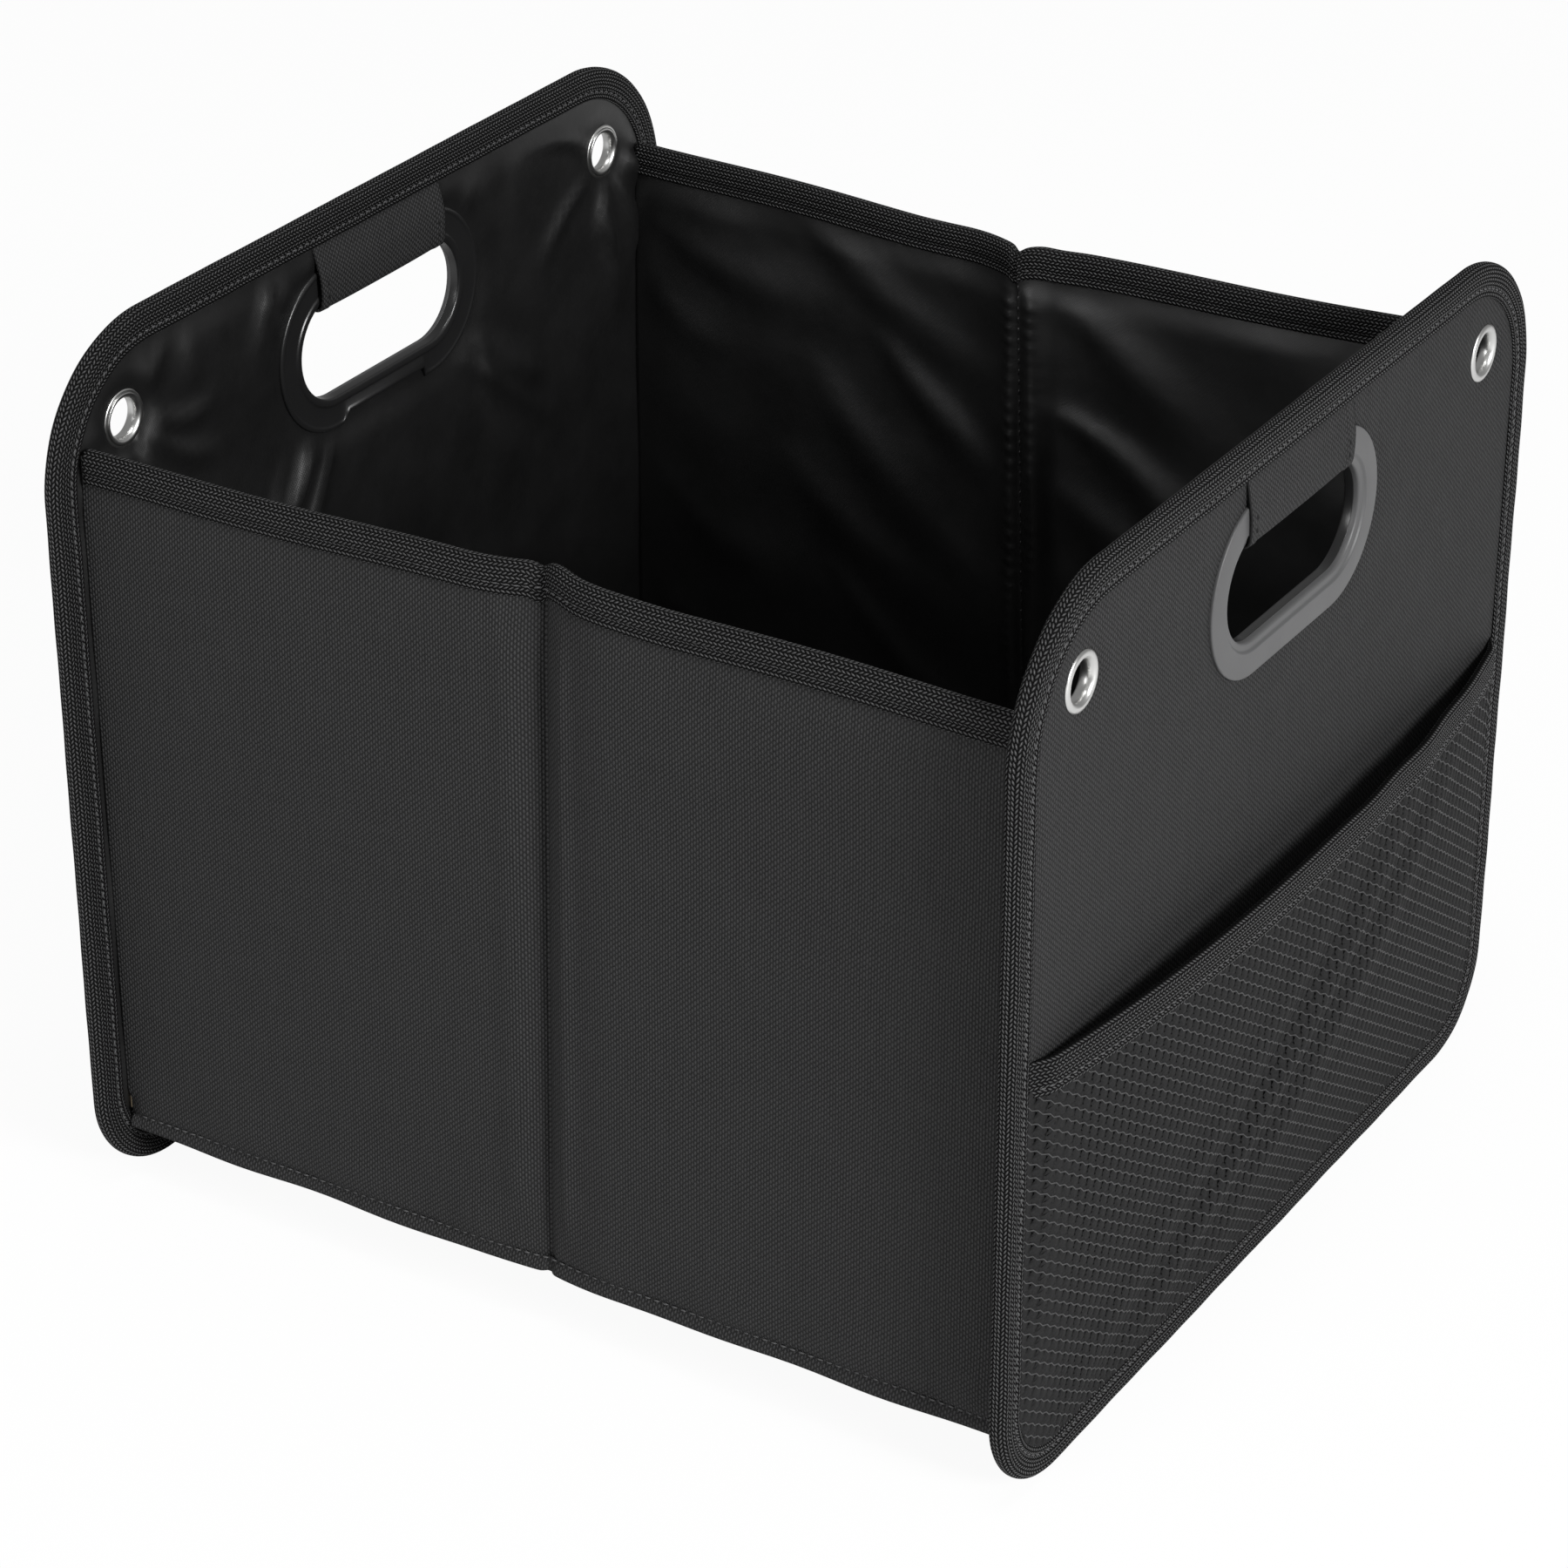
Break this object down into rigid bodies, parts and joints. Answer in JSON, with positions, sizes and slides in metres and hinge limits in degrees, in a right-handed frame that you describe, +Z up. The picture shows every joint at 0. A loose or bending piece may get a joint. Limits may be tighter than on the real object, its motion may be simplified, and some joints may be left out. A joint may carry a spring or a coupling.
{
  "type": "car trunk organizer",
  "caption": "Open fabric box that folds flat, with stiff end panels, bound edges, oval hand holes, eyelets and mesh pockets, for keeping things in a car's trunk.",
  "frame": {"origin": "on the ground, under the middle of the box", "axes": "+X to the right end panel, -Y to the front wall, +Z up"},
  "size_m": [0.38, 0.34, 0.3],
  "materials": {
    "polyester": "matt black woven polyester",
    "lining": "smooth black coated nylon with a soft gloss",
    "tape": "thick black woven binding tape",
    "mesh": "black knitted mesh",
    "board": "raw grey-brown stiffening board",
    "ring_plastic": "satin charcoal moulded plastic",
    "steel": "polished nickel plate"
  },
  "bodies": {
    "root": {"end_cover_left": "polyester", "end_board_left": "board", "end_lining_left": "lining", "end_binding_left": "tape", "handle_ring_outer_left": "ring_plastic", "handle_ring_inner_left": "ring_plastic", "handle_wrap_left": "polyester", "mesh_pocket_left": "mesh", "pocket_hem_left": "tape", "eyelet_front_left": "steel", "eyelet_washer_front_left": "steel", "eyelet_back_left": "steel", "eyelet_washer_back_left": "steel", "end_cover_right": "polyester", "end_board_right": "board", "end_lining_right": "lining", "end_binding_right": "tape", "handle_ring_outer_right": "ring_plastic", "handle_ring_inner_right": "ring_plastic", "handle_wrap_right": "polyester", "mesh_pocket_right": "mesh", "pocket_hem_right": "tape", "eyelet_front_right": "steel", "eyelet_washer_front_right": "steel", "eyelet_back_right": "steel", "eyelet_washer_back_right": "steel", "front_wall_cover": "polyester", "front_wall_lining": "lining", "front_wall_binding": "tape", "front_wall_board_left": "board", "front_wall_board_right": "board", "back_wall_cover": "polyester", "back_wall_lining": "lining", "back_wall_binding": "tape", "back_wall_board_left": "board", "back_wall_board_right": "board", "floor_cover": "polyester", "floor_lining": "lining", "floor_board_left": "board", "floor_board_right": "board"}
  },
  "joints": []
}
